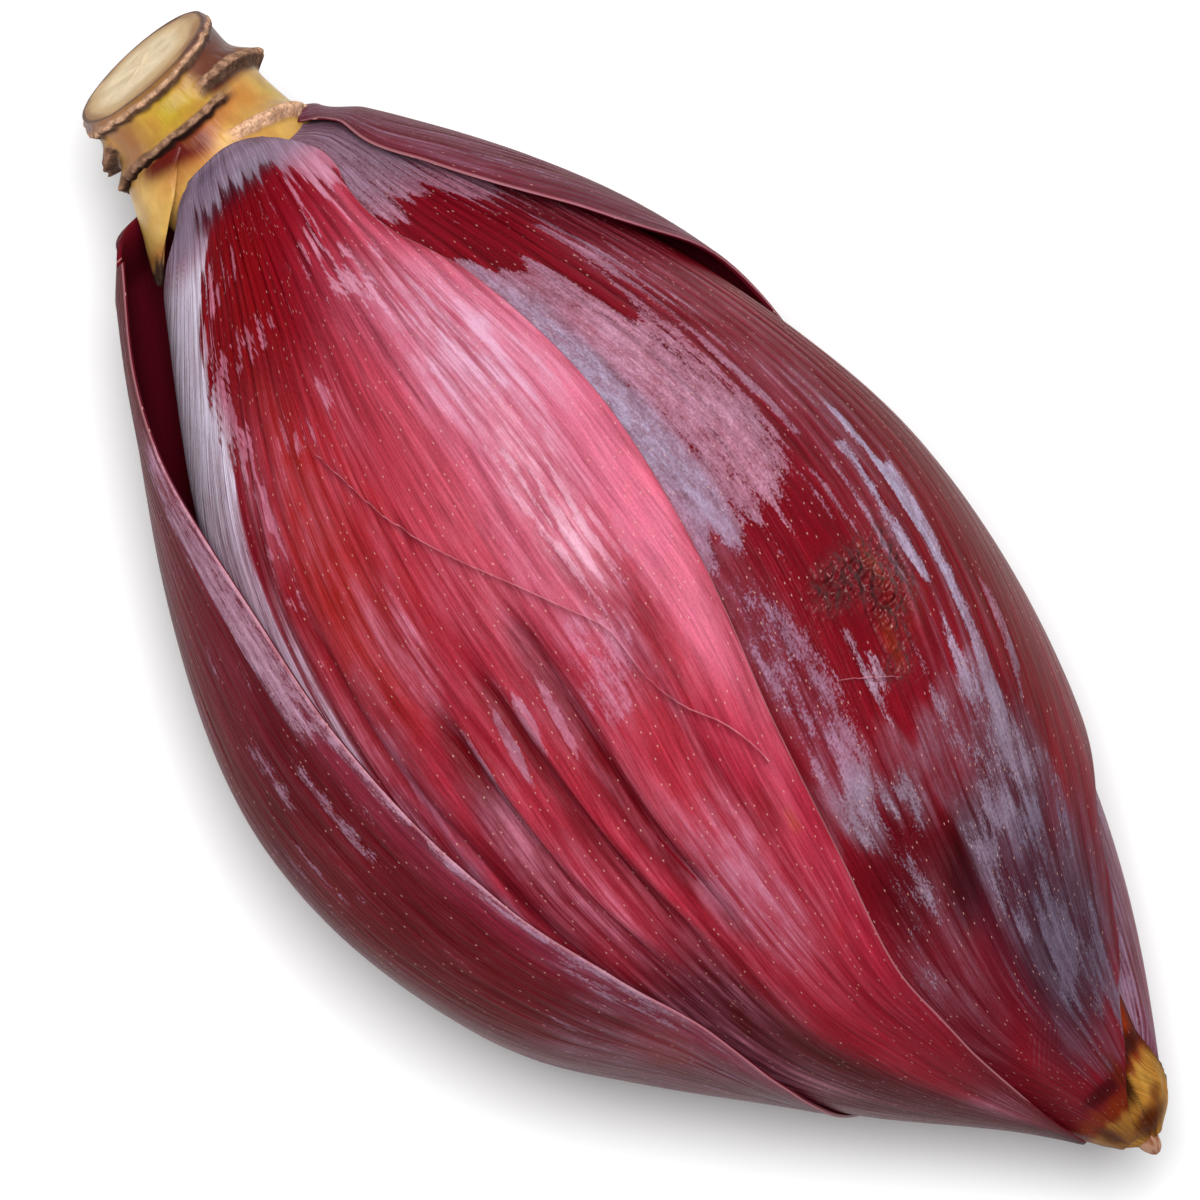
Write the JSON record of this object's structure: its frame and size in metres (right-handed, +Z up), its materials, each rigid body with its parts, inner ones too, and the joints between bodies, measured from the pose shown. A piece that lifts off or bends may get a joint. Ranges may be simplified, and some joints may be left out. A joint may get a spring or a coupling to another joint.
{
  "type": "banana blossom",
  "caption": "Picked banana blossom lying on its side: a cut scarred stem and overlapping crimson bracts, rolled over each other to a dried ochre tip.",
  "frame": {"origin": "on the surface it rests on, under the middle of the bounding box", "axes": "+X from the cut stem to the tip, +Z up, +Y towards the side where the dark right bract lies"},
  "size_m": [0.2436, 0.123, 0.1062],
  "materials": {
    "stem_skin": "green-yellow and tan fleshy skin with corky scars",
    "rose_bract": "waxy rose-crimson, ribbed, with lavender bloom",
    "plum_bract": "waxy dark plum with lavender bloom",
    "dried_bract": "dried ochre and brown, papery",
    "inner_bud_skin": "dark red, satin",
    "floret_cream": "cream, moist satin"
  },
  "bodies": {
    "root": {"stem": "stem_skin", "front_bract": "rose_bract", "outer_left_bract": "plum_bract", "outer_right_bract": "plum_bract", "right_bract": "plum_bract", "inner_right_bract": "plum_bract", "under_bract": "plum_bract", "tip_bract": "dried_bract", "inner_bud": "inner_bud_skin", "front_floret_hand": "floret_cream", "right_floret_hand": "floret_cream", "under_floret_hand": "floret_cream"}
  },
  "joints": []
}
